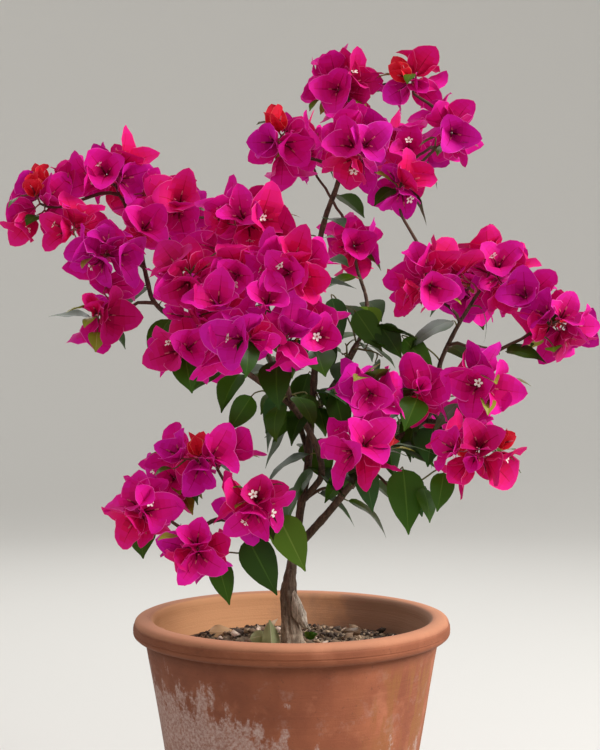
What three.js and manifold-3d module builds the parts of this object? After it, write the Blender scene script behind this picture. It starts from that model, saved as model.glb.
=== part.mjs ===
// A bougainvillea bush, trained up one short trunk and grown in a round terracotta pot.
//
// Millimetres, +Z up, the front of the bush faces -Y. The origin is the centre of the pot's flat
// underside. Every piece is one closed faceted solid: the pot, the compost in it, the trunk, the
// tapering boughs, and the uneven masses of blossom and leaf that the boughs carry.

import * as THREE from 'three';
import { mergeVertices } from 'three/addons/utils/BufferGeometryUtils.js';
import Module from 'manifold-3d';

const wasm = await Module();
wasm.setup();

// ---- Driving dimensions ----------------------------------------------------------------------

const CLEARANCE = 0.4;            // between pieces that touch
const WELD = 1e-3;                // vertices closer than this are one

const POT = {
  height: 284,
  baseRadius: 101,
  shoulderRadius: 146.4,          // under the rolled rim
  rimRadius: 158,
  mouthRadius: 137,
  rimDepth: 21,                   // height of the rolled rim
  rimAngles: [-70, 180],          // where its bead starts and ends, and in what steps it turns
  rimStep: 25,
  wall: 11.5,
  floor: 14,
  footRound: 3,
  drainRadius: 8,
  drainCircle: 45,                // the drain holes stand round a solid centre
  drains: 3,
  drainSides: 12,
  shoulderDrop: 1,                // from the underside of the rim down to the wall's last turn
  sides: 36,
};

const COMPOST = {
  level: 248,                     // 36 mm under the lip, where the trunk leaves it
  lump: 3,
  lumpsAcross: 0.09,              // radians a millimetre
  lumpsDeep: 0.11,
  rings: 3,
  band: 1,                        // points nearer than this to the wall or the level stay put
};

const TRUNK = {
  foot: [-2, 0],                  // its axis at the compost
  top: [4, 0],                    // its axis at the fork
  forkHeight: 362,
  footRadius: 10,
  forkRadius: 5,
  flare: 4,                       // added round the root collar
  flareHeight: 14,
  taperPower: 0.8,
  ridges: 3,                      // round the root collar
  ridgeRise: 0.5,
  ridgeTurn: 0.6,
  sides: 12,
  steps: 8,
};

const BOUGH = { sides: 6, stepLength: 26 };
const MASS = { around: 11, down: 6, lobes: 7, lobeRise: 0.38, lobePower: 5, hollow: 0.12 };

const COLOURS = {
  terracotta: 0xa5664a,
  compost: 0x4a3a2e,
  bark: 0x5c4a3c,
  bract: 0xc20e78,
  leaf: 0x2b4a14,
};

// Each bough is one tapering limb: the points it passes through, its radius where it leaves the
// parent limb and at its tip, and the masses that it ends in.
const BOUGHS = {
  leader: {
    radii: [4.3, 2.4],
    route: [[4, 0, 357], [10, 4, 399], [15, 8, 424], [18, 11, 460], [24, 16, 550], [26, 19, 640], [33, 14, 680],
      [46, 0, 716], [52, -10, 745]],
    into: ['top_middle'],
  },
  bough_right: {
    radii: [4.4, 2.4],
    route: [[5, -3, 352], [19, -9, 368], [36, -17, 388], [53, -25, 410], [70, -40, 433], [76, -58, 460],
      [80, -80, 500]],
    into: ['low_right_inner_lower', 'low_right_inner_upper'],
  },
  bough_left: {
    radii: [3.4, 2.7],
    route: [[11, 5, 398], [20, -8, 410], [29, -14, 424], [27, -16, 446], [14, -24, 474], [0, -34, 494],
      [-22, -40, 511], [-48, -42, 530]],
    into: [],
  },
  bough_left_outer: {
    radii: [2.7, 2.2],
    route: [[-48, -42, 530], [-90, -40, 562], [-132, -24, 592], [-143, -16, 618], [-152, -8, 655], [-165, 0, 690]],
    into: ['left_under', 'left_inner', 'left_upper'],
  },
  bough_centre: {
    radii: [2.8, 1.8],
    route: [[2, -32, 491], [-3, -44, 508], [-9, -60, 536], [-16, -80, 566], [-24, -100, 596]],
    into: ['centre_low_middle', 'centre_right', 'centre_left'],
  },
  bough_lower_left: {
    radii: [3.2, 2],
    route: [[0, -4, 342], [-10, -10, 352], [-22, -20, 366], [-50, -42, 380], [-72, -62, 386], [-92, -80, 366]],
    into: ['wreath_bottom'],
  },
  bough_upper_right: {
    radii: [3, 2.6],
    route: [[58, -28, 414], [76, -18, 436], [98, -4, 456], [128, 4, 474], [146, 5, 494]],
    into: [],
  },
  bough_right_riser: {
    radii: [2.6, 2],
    route: [[146, 5, 494], [149, 4, 512], [148, 2, 534], [162, 0, 566], [182, 0, 600]],
    into: ['right_under', 'right_upper', 'right_inner'],
  },
  bough_outer_right: {
    radii: [2.6, 1.8],
    route: [[132, 2, 478], [150, -14, 478], [164, -30, 484], [174, -50, 502]],
    into: ['low_right_outer_upper'],
  },
  bough_rear: {
    radii: [3, 1.9],
    route: [[17, 11, 442], [8, 32, 470], [-8, 58, 505], [-26, 86, 545], [-44, 112, 590], [-52, 130, 625]],
    into: ['rear_low', 'rear_centre'],
  },
  bough_rear_right: {
    radii: [2.8, 1.8],
    route: [[20, 13, 478], [40, 34, 510], [66, 70, 550], [80, 108, 595], [70, 132, 638]],
    into: ['top_rear'],
  },
  bough_side: {
    radii: [2.4, 1.6],
    route: [[98, -2, 457], [108, 26, 470], [126, 62, 478], [150, 88, 482]],
    into: ['rear_low_right'],
  },
};

// Each mass: the centre and half size of its box. They are cut round one another in this order,
// and round the boughs that pass them.
const MASSES = {
  left_upper: { at: [-186, 15, 725], half: [52, 46, 41] },
  left_far: { at: [-250, -8, 694], half: [36, 40, 52] },
  left_inner: { at: [-112, -8, 692], half: [40, 42, 43] },
  left_under: { at: [-180, -42, 642], half: [43, 38, 34] },
  left_pendant: { at: [-187, -50, 585], half: [27, 27, 29] },

  centre_upper: { at: [-42, -60, 672], half: [54, 46, 35] },
  centre_left: { at: [-94, -108, 617], half: [42, 42, 40] },
  centre_right: { at: [0, -112, 622], half: [48, 44, 42] },
  centre_low_left: { at: [-97, -112, 551], half: [41, 38, 33] },
  centre_low_middle: { at: [-42, -134, 560], half: [38, 38, 36] },
  centre_low_right: { at: [22, -88, 562], half: [28, 28, 27] },

  top_middle: { at: [66, -30, 748], half: [48, 44, 47] },
  top_left: { at: [-11, 0, 759], half: [38, 42, 48] },
  top_peak: { at: [48, 25, 815], half: [43, 40, 42] },
  top_spray: { at: [121, 12, 820], half: [37, 35, 37] },
  top_right: { at: [158, 0, 768], half: [35, 38, 43] },
  top_pendant: { at: [106, -20, 711], half: [30, 28, 25] },
  top_rear: { at: [66, 140, 664], half: [34, 38, 36] },

  right_inner: { at: [133, -30, 617], half: [42, 44, 48] },
  right_upper: { at: [206, 8, 625], half: [44, 44, 48] },
  right_outer: { at: [262, -18, 577], half: [43, 44, 46] },
  right_under: { at: [196, -14, 547], half: [38, 32, 27] },

  low_right_inner_upper: { at: [75, -78, 510], half: [30, 34, 40] },
  low_right_inner_lower: { at: [66, -88, 458], half: [45, 36, 33] },
  low_right_middle: { at: [120, -60, 509], half: [26, 30, 31] },
  low_right_outer_upper: { at: [178, -60, 516], half: [38, 38, 40] },
  low_right_outer_lower: { at: [174, -98, 455], half: [54, 42, 40] },

  wreath_top: { at: [-89, -50, 442], half: [64, 36, 29] },
  wreath_left: { at: [-143, -66, 396], half: [27, 34, 44] },
  wreath_bottom: { at: [-90, -86, 362], half: [44, 36, 33] },
  wreath_right: { at: [-34, -88, 405], half: [28, 32, 30] },

  leaves_fork: { at: [-1, -10, 500], half: [46, 36, 30] },
  leaves_middle: { at: [69, 4, 560], half: [42, 40, 50] },
  leaves_low: { at: [-28, -48, 348], half: [44, 30, 39] },
  leaves_right: { at: [104, -58, 406], half: [37, 30, 37] },

  rear_left: { at: [-130, 118, 692], half: [50, 50, 42] },
  rear_centre: { at: [-60, 130, 634], half: [64, 54, 48] },
  rear_low: { at: [-84, 80, 556], half: [46, 46, 36] },
  rear_top_left: { at: [20, 100, 762], half: [42, 42, 38] },
  rear_top_right: { at: [124, 90, 762], half: [40, 40, 38] },
  rear_right: { at: [194, 126, 616], half: [62, 52, 42] },
  rear_low_right: { at: [172, 92, 482], half: [50, 50, 46] },
  rear_wreath: { at: [-118, 8, 420], half: [40, 36, 36] },
};

const LEAFY = ['right_under', 'leaves_fork', 'leaves_middle', 'leaves_low', 'leaves_right'];

// ---- From geometry to closed solids and back --------------------------------------------------

function toSolid(geometry) {
  const bare = geometry.clone();
  bare.deleteAttribute('normal');
  bare.deleteAttribute('uv');
  const welded = mergeVertices(bare, WELD);
  return new wasm.Manifold(new wasm.Mesh({
    numProp: 3,
    vertProperties: new Float32Array(welded.attributes.position.array),
    triVerts: new Uint32Array(welded.index.array),
  }));
}

function toGeometry(solid) {
  const { vertProperties, triVerts } = solid.getMesh();
  const geometry = new THREE.BufferGeometry();
  geometry.setAttribute('position', new THREE.BufferAttribute(vertProperties, 3));
  geometry.setIndex(new THREE.BufferAttribute(triVerts, 1));
  geometry.computeVertexNormals();
  return geometry;
}

function largestPiece(solid) {
  const pieces = solid.decompose();
  return pieces.reduce((best, piece) => (piece.volume() > best.volume() ? piece : best));
}

function cutBy(solid, cutters) {
  return largestPiece(cutters.reduce((rest, cutter) => rest.subtract(cutter), solid));
}

// A seeded run of numbers from 0 to 1, the same every time.
function randomFrom(seed) {
  let state = seed * 2654435761 >>> 0;
  return () => {
    state = (state * 1664525 + 1013904223) >>> 0;
    return state / 4294967296;
  };
}

// ---- The pot and its compost -------------------------------------------------------------------

function wallRadius(height) {
  const shoulder = POT.height - POT.rimDepth;
  return POT.baseRadius + (POT.shoulderRadius - POT.baseRadius) * height / shoulder;
}

// The rolled rim is an oval bead, from its inner lip over the top and round to its underside.
function rimBead() {
  const centre = (POT.rimRadius + POT.mouthRadius) / 2;
  const halfWidth = (POT.rimRadius - POT.mouthRadius) / 2;
  const halfHeight = POT.rimDepth / 2;
  const points = [];
  for (let angle = POT.rimAngles[0]; angle <= POT.rimAngles[1]; angle += POT.rimStep) {
    const turn = THREE.MathUtils.degToRad(angle);
    points.push(new THREE.Vector2(centre + halfWidth * Math.cos(turn),
      POT.height - halfHeight + halfHeight * Math.sin(turn)));
  }
  return points;
}

// LatheGeometry turns its outline about Y, so the result is stood up on Z.
function lathe(outline, sides) {
  return new THREE.LatheGeometry(outline, sides).rotateX(Math.PI / 2);
}

function makePot() {
  const shoulder = POT.height - POT.rimDepth;
  const outline = [
    new THREE.Vector2(0, 0),
    new THREE.Vector2(POT.baseRadius - POT.footRound, 0),
    new THREE.Vector2(wallRadius(POT.footRound), POT.footRound),
    new THREE.Vector2(POT.shoulderRadius, shoulder - POT.shoulderDrop),
    ...rimBead(),
    new THREE.Vector2(wallRadius(shoulder) - POT.wall, shoulder),
    new THREE.Vector2(wallRadius(POT.floor) - POT.wall, POT.floor),
    new THREE.Vector2(0, POT.floor),
  ];
  const body = toSolid(lathe(outline, POT.sides));
  const drains = [];
  for (let i = 0; i < POT.drains; i++) {
    const turn = (i + 0.5) / POT.drains * 2 * Math.PI;
    const drain = new THREE.CylinderGeometry(POT.drainRadius, POT.drainRadius, POT.floor * 3, POT.drainSides);
    drain.rotateX(Math.PI / 2);
    drain.translate(POT.drainCircle * Math.cos(turn), POT.drainCircle * Math.sin(turn), POT.floor / 2);
    drains.push(toSolid(drain));
  }
  return cutBy(body, drains);
}

// Potting compost fills the pot; its top is level at the trunk and lumpy outside it.
function makeCompost() {
  const bottom = POT.floor + CLEARANCE;
  const innerRadius = (height) => wallRadius(height) - POT.wall - CLEARANCE;
  const outline = [new THREE.Vector2(0, bottom), new THREE.Vector2(innerRadius(bottom), bottom)];
  for (let ring = COMPOST.rings; ring >= 0; ring--) {
    outline.push(new THREE.Vector2(innerRadius(COMPOST.level) * ring / COMPOST.rings, COMPOST.level));
  }
  const form = lathe(outline, POT.sides);
  const places = form.attributes.position;
  const inside = innerRadius(COMPOST.level) / COMPOST.rings + COMPOST.band;
  for (let i = 0; i < places.count; i++) {
    const x = places.getX(i);
    const y = places.getY(i);
    const reach = Math.hypot(x, y);
    const onTop = places.getZ(i) > COMPOST.level - COMPOST.band;
    if (onTop && reach > inside && reach < innerRadius(COMPOST.level) - COMPOST.band) {
      const wave = Math.sin(x * COMPOST.lumpsAcross) * Math.cos(y * COMPOST.lumpsDeep);
      places.setZ(i, COMPOST.level + COMPOST.lump * wave);
    }
  }
  return toSolid(form);
}

// ---- The trunk and the boughs ------------------------------------------------------------------

// Level rings, stepped sideways up the lean, so the foot is cut flat at the compost.
function makeTrunk(grow = 0) {
  const foot = COMPOST.level + CLEARANCE;
  const length = TRUNK.forkHeight - foot;
  const form = new THREE.CylinderGeometry(1, 1, 1, TRUNK.sides, TRUNK.steps).rotateX(Math.PI / 2);
  const places = form.attributes.position;
  for (let i = 0; i < places.count; i++) {
    const up = places.getZ(i) + 0.5;
    const atTop = up > 1 - 0.5 / TRUNK.steps;
    const turn = Math.atan2(places.getY(i), places.getX(i));
    const taper = THREE.MathUtils.lerp(TRUNK.footRadius, TRUNK.forkRadius, Math.pow(up, TRUNK.taperPower));
    const flare = TRUNK.flare * Math.exp(-up * length / TRUNK.flareHeight);
    const ridge = 1 + TRUNK.ridgeRise * Math.cos(TRUNK.ridges * turn + TRUNK.ridgeTurn);
    const reach = Math.hypot(places.getX(i), places.getY(i)) * (taper + flare * ridge + grow);
    places.setXYZ(i,
      THREE.MathUtils.lerp(TRUNK.foot[0], TRUNK.top[0], up * up) + reach * Math.cos(turn),
      THREE.MathUtils.lerp(TRUNK.foot[1], TRUNK.top[1], up * up) + reach * Math.sin(turn),
      foot + up * length + (atTop ? grow : 0));
  }
  return toSolid(form);
}

// A tapering cylinder bent along a smooth curve through the bough's route.
function makeBough({ route, radii }, grow = 0) {
  const curve = new THREE.CatmullRomCurve3(route.map((point) => new THREE.Vector3(...point)));
  const steps = Math.max(3, Math.round(curve.getLength() / BOUGH.stepLength));
  const frames = curve.computeFrenetFrames(steps, false);
  const form = new THREE.CylinderGeometry(radii[1] + grow, radii[0] + grow, 1, BOUGH.sides, steps);
  const places = form.attributes.position;
  for (let i = 0; i < places.count; i++) {
    const step = Math.round((places.getY(i) + 0.5) * steps);
    const place = curve.getPointAt(step / steps)
      .addScaledVector(frames.normals[step], places.getX(i))
      .addScaledVector(frames.binormals[step], -places.getZ(i));
    places.setXYZ(i, place.x, place.y, place.z);
  }
  return toSolid(form);
}

// ---- The masses of blossom and leaf ------------------------------------------------------------

// A ball pushed out into rounded lobes and drawn in between them, then fitted to its box.
function makeMass({ at, half }, seed, grow = 0) {
  const random = randomFrom(seed);
  const lobes = [];
  for (let i = 0; i < MASS.lobes; i++) {
    lobes.push(new THREE.Vector3(random() - 0.5, random() - 0.5, random() - 0.5).normalize());
  }
  const form = new THREE.SphereGeometry(1, MASS.around, MASS.down).rotateX(Math.PI / 2);
  const places = form.attributes.position;
  const place = new THREE.Vector3();
  for (let i = 0; i < places.count; i++) {
    place.fromBufferAttribute(places, i).normalize();
    const nearest = Math.max(...lobes.map((lobe) => lobe.dot(place)));
    const rise = MASS.lobeRise * Math.pow(Math.max(nearest, 0), MASS.lobePower) - MASS.hollow;
    place.multiplyScalar(1 + rise);
    places.setXYZ(i, place.x, place.y, place.z);
  }
  form.computeBoundingBox();
  const middle = form.boundingBox.getCenter(new THREE.Vector3());
  const extent = form.boundingBox.getSize(new THREE.Vector3());
  form.translate(-middle.x, -middle.y, -middle.z);
  form.scale(...half.map((reach, axis) => 2 * (reach + grow) / extent.getComponent(axis)));
  form.translate(...at);
  return toSolid(form);
}

// ---- Putting the bush together -----------------------------------------------------------------

const solids = {};

solids.pot = makePot();
solids.compost = makeCompost();
solids.trunk = makeTrunk();

const grownWood = { trunk: makeTrunk(CLEARANCE) };
for (const [name, bough] of Object.entries(BOUGHS)) {
  solids[name] = cutBy(makeBough(bough), Object.values(grownWood));
  grownWood[name] = makeBough(bough, CLEARANCE);
}

const grownMasses = {};
Object.entries(MASSES).forEach(([name, mass], index) => {
  const passing = Object.keys(BOUGHS).filter((bough) => !BOUGHS[bough].into.includes(name));
  const cutters = [grownWood.trunk, ...passing.map((bough) => grownWood[bough])];
  cutters.push(...Object.values(grownMasses));
  solids[name] = cutBy(makeMass(mass, index + 1), cutters);
  grownMasses[name] = makeMass(mass, index + 1, CLEARANCE);
});

for (const [name, bough] of Object.entries(BOUGHS)) {
  solids[name] = cutBy(solids[name], bough.into.map((mass) => grownMasses[mass]));
}

function finishOf(name) {
  if (name === 'pot') return { color: COLOURS.terracotta, roughness: 0.85 };
  if (name === 'compost') return { color: COLOURS.compost, roughness: 0.95 };
  if (name === 'trunk' || name in BOUGHS) return { color: COLOURS.bark, roughness: 0.9 };
  if (LEAFY.includes(name)) return { color: COLOURS.leaf, roughness: 0.45 };
  return { color: COLOURS.bract, roughness: 0.6 };
}

const bush = new THREE.Group();
for (const [name, solid] of Object.entries(solids)) {
  const material = new THREE.MeshStandardMaterial({ ...finishOf(name), metalness: 0 });
  const mesh = new THREE.Mesh(toGeometry(solid), material);
  mesh.name = name;
  bush.add(mesh);
}

export default bush;
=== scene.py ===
# A bougainvillea bush in full magenta blossom, grown on one short trunk in a clay pot.
# Metres, +Z up, the front of the bush towards -Y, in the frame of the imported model.

import math
import random

import bpy
import numpy as np
from mathutils import Matrix, Vector, noise


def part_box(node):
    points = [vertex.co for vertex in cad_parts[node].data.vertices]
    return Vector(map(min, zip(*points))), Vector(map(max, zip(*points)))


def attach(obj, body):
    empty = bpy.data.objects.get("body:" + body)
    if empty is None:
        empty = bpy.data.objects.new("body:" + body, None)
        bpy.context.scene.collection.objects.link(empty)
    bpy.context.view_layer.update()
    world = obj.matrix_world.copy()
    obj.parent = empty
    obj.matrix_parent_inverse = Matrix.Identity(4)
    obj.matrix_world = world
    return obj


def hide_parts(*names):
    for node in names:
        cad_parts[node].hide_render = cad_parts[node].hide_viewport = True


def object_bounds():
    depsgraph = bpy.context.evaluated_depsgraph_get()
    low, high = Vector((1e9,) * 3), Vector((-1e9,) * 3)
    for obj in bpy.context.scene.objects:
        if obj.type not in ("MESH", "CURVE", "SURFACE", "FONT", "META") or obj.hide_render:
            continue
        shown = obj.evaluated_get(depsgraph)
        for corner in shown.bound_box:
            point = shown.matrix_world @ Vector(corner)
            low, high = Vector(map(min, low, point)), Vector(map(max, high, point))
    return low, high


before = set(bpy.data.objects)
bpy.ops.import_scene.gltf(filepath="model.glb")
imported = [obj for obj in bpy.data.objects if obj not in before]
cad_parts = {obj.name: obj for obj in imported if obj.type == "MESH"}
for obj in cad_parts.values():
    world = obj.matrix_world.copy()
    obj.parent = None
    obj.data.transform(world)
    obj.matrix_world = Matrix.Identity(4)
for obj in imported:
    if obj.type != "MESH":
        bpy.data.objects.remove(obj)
cad_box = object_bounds()


# ---- The pot ------------------------------------------------------------------------------------
# A thrown terracotta pot, unglazed, with a rolled rim that has two creases round it. The clay is
# laid down as a disc, drawn up into the wall, rolled over and brought down inside to the floor.

MILLIMETRE = 0.001
pot_low, pot_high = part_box("pot")
POT_HEIGHT = pot_high.z
RIM_RADIUS = (pot_high.x - pot_low.x) / 2
RIM_DEPTH = 0.021
SHOULDER_HEIGHT = POT_HEIGHT - RIM_DEPTH
SHOULDER_RADIUS = 0.1464
FOOT_RADIUS = 0.101
WALL = 0.0115
WALL_SLOPE = (SHOULDER_RADIUS - FOOT_RADIUS) / SHOULDER_HEIGHT
POT_FLOOR = 0.014
POT_SIDES = 112
# The rim's outline, from its underside up its face, over the lip and down inside: how far in
# from its widest, and how far down from the lip, in millimetres.
RIM_OUTLINE = (
    (7.5, 20.6), (3.8, 19.7), (1.4, 17.6), (0.4, 15.9), (0.1, 14.6), (0.7, 13.8), (0.7, 13.3),
    (0.0, 12.5), (0.1, 10.4), (0.3, 8.6), (0.6, 7.9), (1.6, 6.9), (1.6, 6.2), (1.4, 5.2),
    (2.2, 3.4), (3.8, 1.8), (6.0, 0.8), (9.0, 0.2), (12.5, 0.0), (16.0, 0.6), (18.4, 1.9),
    (20.1, 4.2), (20.8, 7.2), (21.1, 11.5), (21.8, 16.0))


def deselect():
    bpy.ops.object.select_all(action="DESELECT")


def activate(piece):
    deselect()
    piece.select_set(True)
    bpy.context.view_layer.objects.active = piece


def new_disc(name, radius, sides, height=0.0):
    """A flat disc, left in edit mode with its edge ready to be drawn up."""
    deselect()
    bpy.ops.mesh.primitive_circle_add(vertices=sides, radius=radius, fill_type="NGON",
                                      location=(0, 0, height))
    piece = bpy.context.object
    piece.name = name
    bpy.ops.object.mode_set(mode="EDIT")
    return piece


def draw_up(radius, height, outline):
    """Draws the edge of a turned piece out through each radius and height of its outline."""
    for next_radius, next_height in outline:
        bpy.ops.mesh.extrude_region_move(TRANSFORM_OT_translate={"value": (0, 0, next_height - height)})
        widen = next_radius / radius
        bpy.ops.transform.resize(value=(widen, widen, 1), center_override=(0, 0, next_height))
        radius, height = next_radius, next_height


def close_up():
    """Ends the edit, with every face turned outwards."""
    bpy.ops.mesh.select_all(action="SELECT")
    bpy.ops.mesh.normals_make_consistent(inside=False)
    bpy.ops.object.mode_set(mode="OBJECT")


def clay_profile():
    """The pot's outline from the edge of its foot, up, over the rim and down to the inner floor."""
    outline = [(FOOT_RADIUS - 0.0008, 0.0012), (FOOT_RADIUS + 0.003 * WALL_SLOPE, 0.003)]
    for height in np.linspace(0.016, SHOULDER_HEIGHT - 0.006, 16):
        outline.append((FOOT_RADIUS + height * WALL_SLOPE, height))
    outline.append((SHOULDER_RADIUS - 0.0014, SHOULDER_HEIGHT - 0.0018))
    outline.append((SHOULDER_RADIUS + 0.0006, SHOULDER_HEIGHT))
    for inward, down in RIM_OUTLINE:
        outline.append((RIM_RADIUS - inward * MILLIMETRE, POT_HEIGHT - down * MILLIMETRE))
    for height in np.linspace(SHOULDER_HEIGHT, POT_FLOOR, 7):
        outline.append((SHOULDER_RADIUS - WALL - (SHOULDER_HEIGHT - height) * WALL_SLOPE, height))
    return outline


def throw_pot():
    start = FOOT_RADIUS - 0.004
    pot = new_disc("terracotta_pot", start, POT_SIDES)
    draw_up(start, 0.0, clay_profile())
    close_up()
    return pot


def bore_drains(pot, count=3, radius=0.008, ring=0.045):
    for index in range(count):
        turn = (index + 0.5) / count * 2 * math.pi
        place = (ring * math.cos(turn), ring * math.sin(turn), POT_FLOOR / 2)
        deselect()
        bpy.ops.mesh.primitive_cylinder_add(vertices=24, radius=radius, depth=POT_FLOOR * 3, location=place)
        drill = bpy.context.object
        activate(pot)
        bore = pot.modifiers.new("bore", "BOOLEAN")
        bore.object = drill
        bore.operation = "DIFFERENCE"
        bore.solver = "EXACT"
        bpy.ops.object.modifier_apply(modifier=bore.name)
        bpy.data.objects.remove(drill)


def weather_clay(pot):
    """Uneven throwing, and a few small knocks on the rim."""
    for vertex in pot.data.vertices:
        place = vertex.co
        swell = noise.noise(place * 9) * 0.0009 + noise.noise(place * 38) * 0.00025
        knock = 0.0
        if place.z > SHOULDER_HEIGHT:
            knock = max(0.0, noise.noise(place * 55 + Vector((3, 1, 7))) - 0.48) * 0.008
        reach = math.hypot(place.x, place.y)
        if reach > 0.06 and place.z > 0.002:
            vertex.co = place + Vector((place.x, place.y, 0)) / reach * (swell - knock)


def paint(red, green, blue):
    """A colour given as 0 to 255 screen values, as the linear one that the shader takes."""
    def linear(value):
        value /= 255
        return value / 12.92 if value <= 0.04045 else ((value + 0.055) / 1.055) ** 2.4
    return (linear(red), linear(green), linear(blue), 1.0)


class Finish:
    """A material with one Principled shader. Its patterns are fixed to the piece, in metres."""

    def __init__(self, name, roughness, colour=None):
        self.material = bpy.data.materials.new(name)
        self.material.use_nodes = True
        self.shader = self.material.node_tree.nodes["Principled BSDF"]
        self.shader.inputs["Roughness"].default_value = roughness
        if colour:
            self.shader.inputs["Base Color"].default_value = paint(*colour)

    def wire(self, kind, inputs=None, **settings):
        """Adds a node. An input is a plain value, or the output of an earlier node."""
        node = self.material.node_tree.nodes.new(kind)
        for name, value in settings.items():
            setattr(node, name, value)
        for name, value in (inputs or {}).items():
            if isinstance(value, bpy.types.NodeSocket):
                self.material.node_tree.links.new(value, node.inputs[name])
            else:
                node.inputs[name].default_value = value
        return node

    def places(self, scale=(1, 1, 1), turn=(0, 0, 0)):
        """Where a point lies on the piece, stretched along each axis and then turned."""
        here = self.wire("ShaderNodeTexCoord").outputs["Object"]
        return self.wire("ShaderNodeMapping", {"Vector": here, "Scale": scale, "Rotation": turn}).outputs[0]

    def axes(self):
        return self.wire("ShaderNodeSeparateXYZ", {"Vector": self.places()}).outputs

    def grain(self, scale, detail=4, roughness=0.6, stretch=(1, 1, 1), turn=(0, 0, 0)):
        """Noise from 0 to 1 at so many lumps a metre."""
        return self.wire("ShaderNodeTexNoise", {"Vector": self.places(stretch, turn), "Scale": scale,
                                                "Detail": detail, "Roughness": roughness}).outputs["Fac"]

    def between(self, value, low, high, out_low=0.0, out_high=1.0):
        return self.wire("ShaderNodeMapRange", {"Value": value, "From Min": low, "From Max": high,
                                                "To Min": out_low, "To Max": out_high}).outputs["Result"]

    def combine(self, operation, first, second):
        return self.wire("ShaderNodeMath", {0: first, 1: second}, operation=operation).outputs[0]

    def product(self, first, *others):
        for other in others:
            first = self.combine("MULTIPLY", first, other)
        return first

    def mix(self, amount, *colours):
        """Two colours mixed. Each is screen values, or the output of an earlier node."""
        first, second = (paint(*c) if isinstance(c, tuple) else c for c in colours)
        return self.wire("ShaderNodeMix", {0: amount, 6: first, 7: second}, data_type="RGBA").outputs[2]

    def coat(self, amount, colour):
        """A further colour over what is there, as thickly as the amount says."""
        self.colour = self.mix(amount, self.colour, colour)

    def apply(self, height, depth):
        """Puts the colour on the shader, with a relief of so many metres."""
        bump = self.wire("ShaderNodeBump", {"Height": height, "Strength": 1.0, "Distance": depth})
        links = self.material.node_tree.links
        links.new(self.colour, self.shader.inputs["Base Color"])
        links.new(bump.outputs["Normal"], self.shader.inputs["Normal"])
        return self.material


def terracotta():
    clay = Finish("terracotta", 0.86)
    across, _, up = clay.axes()

    # The fired clay: clouded, with darker specks, and with painted shade darkening it round to the left.
    clay.colour = clay.mix(clay.between(clay.grain(12), 0.36, 0.64), (136, 72, 45), (168, 97, 64))
    blush = clay.grain(28, 5, turn=(0.4, 1, 2))
    clay.coat(clay.between(blush, 0.52, 0.68, 0, 0.5), (196, 124, 92))
    clay.coat(clay.between(clay.grain(260, 2), 0.64, 0.72, 0, 0.5), (112, 64, 42))
    # Painted shade: the wall is darkened towards the left, the side away from the key light.
    clay.coat(clay.between(across, -0.13, 0.04, 0.54, 0.0), (70, 34, 20))

    # Ochre runs down the right of the wall.
    runs = clay.between(clay.grain(1, 5, stretch=(95, 95, 7)), 0.47, 0.58, 0, 0.95)
    right_side = clay.between(across, 0.05, 0.10)
    below_rim = clay.between(up, 0.262, 0.240)
    clay.coat(clay.product(runs, right_side, below_rim), (146, 90, 46))

    # Lime that has dried out of the wall: a pale tide with a ragged top, highest on the left.
    ragged = clay.between(clay.grain(1, 6, 0.7, stretch=(60, 60, 16)), 0.25, 0.75, 0.200, 0.262)
    line = clay.combine("SUBTRACT", ragged, clay.between(across, -0.085, 0.05, 0.0, 0.068))
    patchy = clay.between(clay.grain(48, 5, 0.7), 0.3, 0.7, -0.026, 0.026)
    below_line = clay.combine("SUBTRACT", clay.combine("ADD", line, patchy), up)
    inside_tide = clay.between(below_line, -0.002, 0.010)
    flecks = clay.between(clay.grain(330, 4, 0.75), 0.38, 0.60, 0.90, 0.22)
    worn_off = clay.combine("ADD", up, clay.between(clay.grain(22, 5), 0.3, 0.7, -0.06, 0.06))
    tide = clay.product(inside_tide, flecks, clay.between(worn_off, 0.11, 0.15))
    dust = clay.product(clay.between(clay.grain(46, 6, 0.75), 0.57, 0.72, 0, 0.24), below_rim)
    lime = clay.combine("MAXIMUM", tide, dust)
    clay.coat(lime, (186, 160, 152))

    # Painted shade darkens the wall just under the rim, the rim's face is a darker brown, and a painted
    # highlight makes its top paler and pinker.
    # Painted shade: a dark band on the wall just under the rim's overhang.
    shade_under_rim = clay.between(up, 0.250, 0.262, 0, 0.55)
    clay.coat(clay.product(shade_under_rim, clay.between(up, 0.267, 0.264)), (92, 50, 28))
    rim_face = clay.between(up, 0.262, 0.266, 0, 0.45)
    clay.coat(clay.product(rim_face, clay.between(up, 0.279, 0.275)), (128, 70, 38))
    # Painted highlight: the top of the lip is painted paler and pinker.
    clay.coat(clay.between(up, POT_HEIGHT - 0.008, POT_HEIGHT - 0.001, 0, 0.68), (228, 162, 124))

    # Hair cracks run round the rim and just below it.
    middle = clay.combine("SUBTRACT", clay.grain(1, 3, stretch=(38, 38, 210)), 0.5)
    hairline = clay.between(clay.combine("ABSOLUTE", middle, 0), 0.004, 0.011, 0.7, 0)
    cracked = clay.between(clay.grain(21, 2), 0.58, 0.62)
    clay.coat(clay.product(hairline, cracked, clay.between(up, 0.245, 0.255)), (84, 46, 30))

    # Inside, the wall is pale tan on the left and grey-brown on the right.
    reach = clay.wire("ShaderNodeVectorMath", {0: clay.places((1, 1, 0))}, operation="LENGTH")
    outward = clay.combine("SUBTRACT", reach.outputs["Value"], clay.product(up, WALL_SLOPE))
    lining = clay.between(outward, FOOT_RADIUS - WALL * 0.70, FOOT_RADIUS - WALL * 0.90)
    rightward = clay.combine("ADD", across, clay.between(clay.grain(26), 0.3, 0.7, -0.03, 0.03))
    inner = clay.mix(clay.between(rightward, -0.02, 0.06), (232, 170, 120), (166, 126, 100))
    clay.coat(lining, inner)

    dryness = clay.between(lime, 0, 1, 0.82, 0.96)
    clay.material.node_tree.links.new(dryness, clay.shader.inputs["Roughness"])
    throwing_rings = clay.grain(1, 4, stretch=(5, 5, 210))
    return clay.apply(clay.combine("ADD", throwing_rings, clay.product(clay.grain(620, 3), 0.3)), 0.0008)


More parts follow.
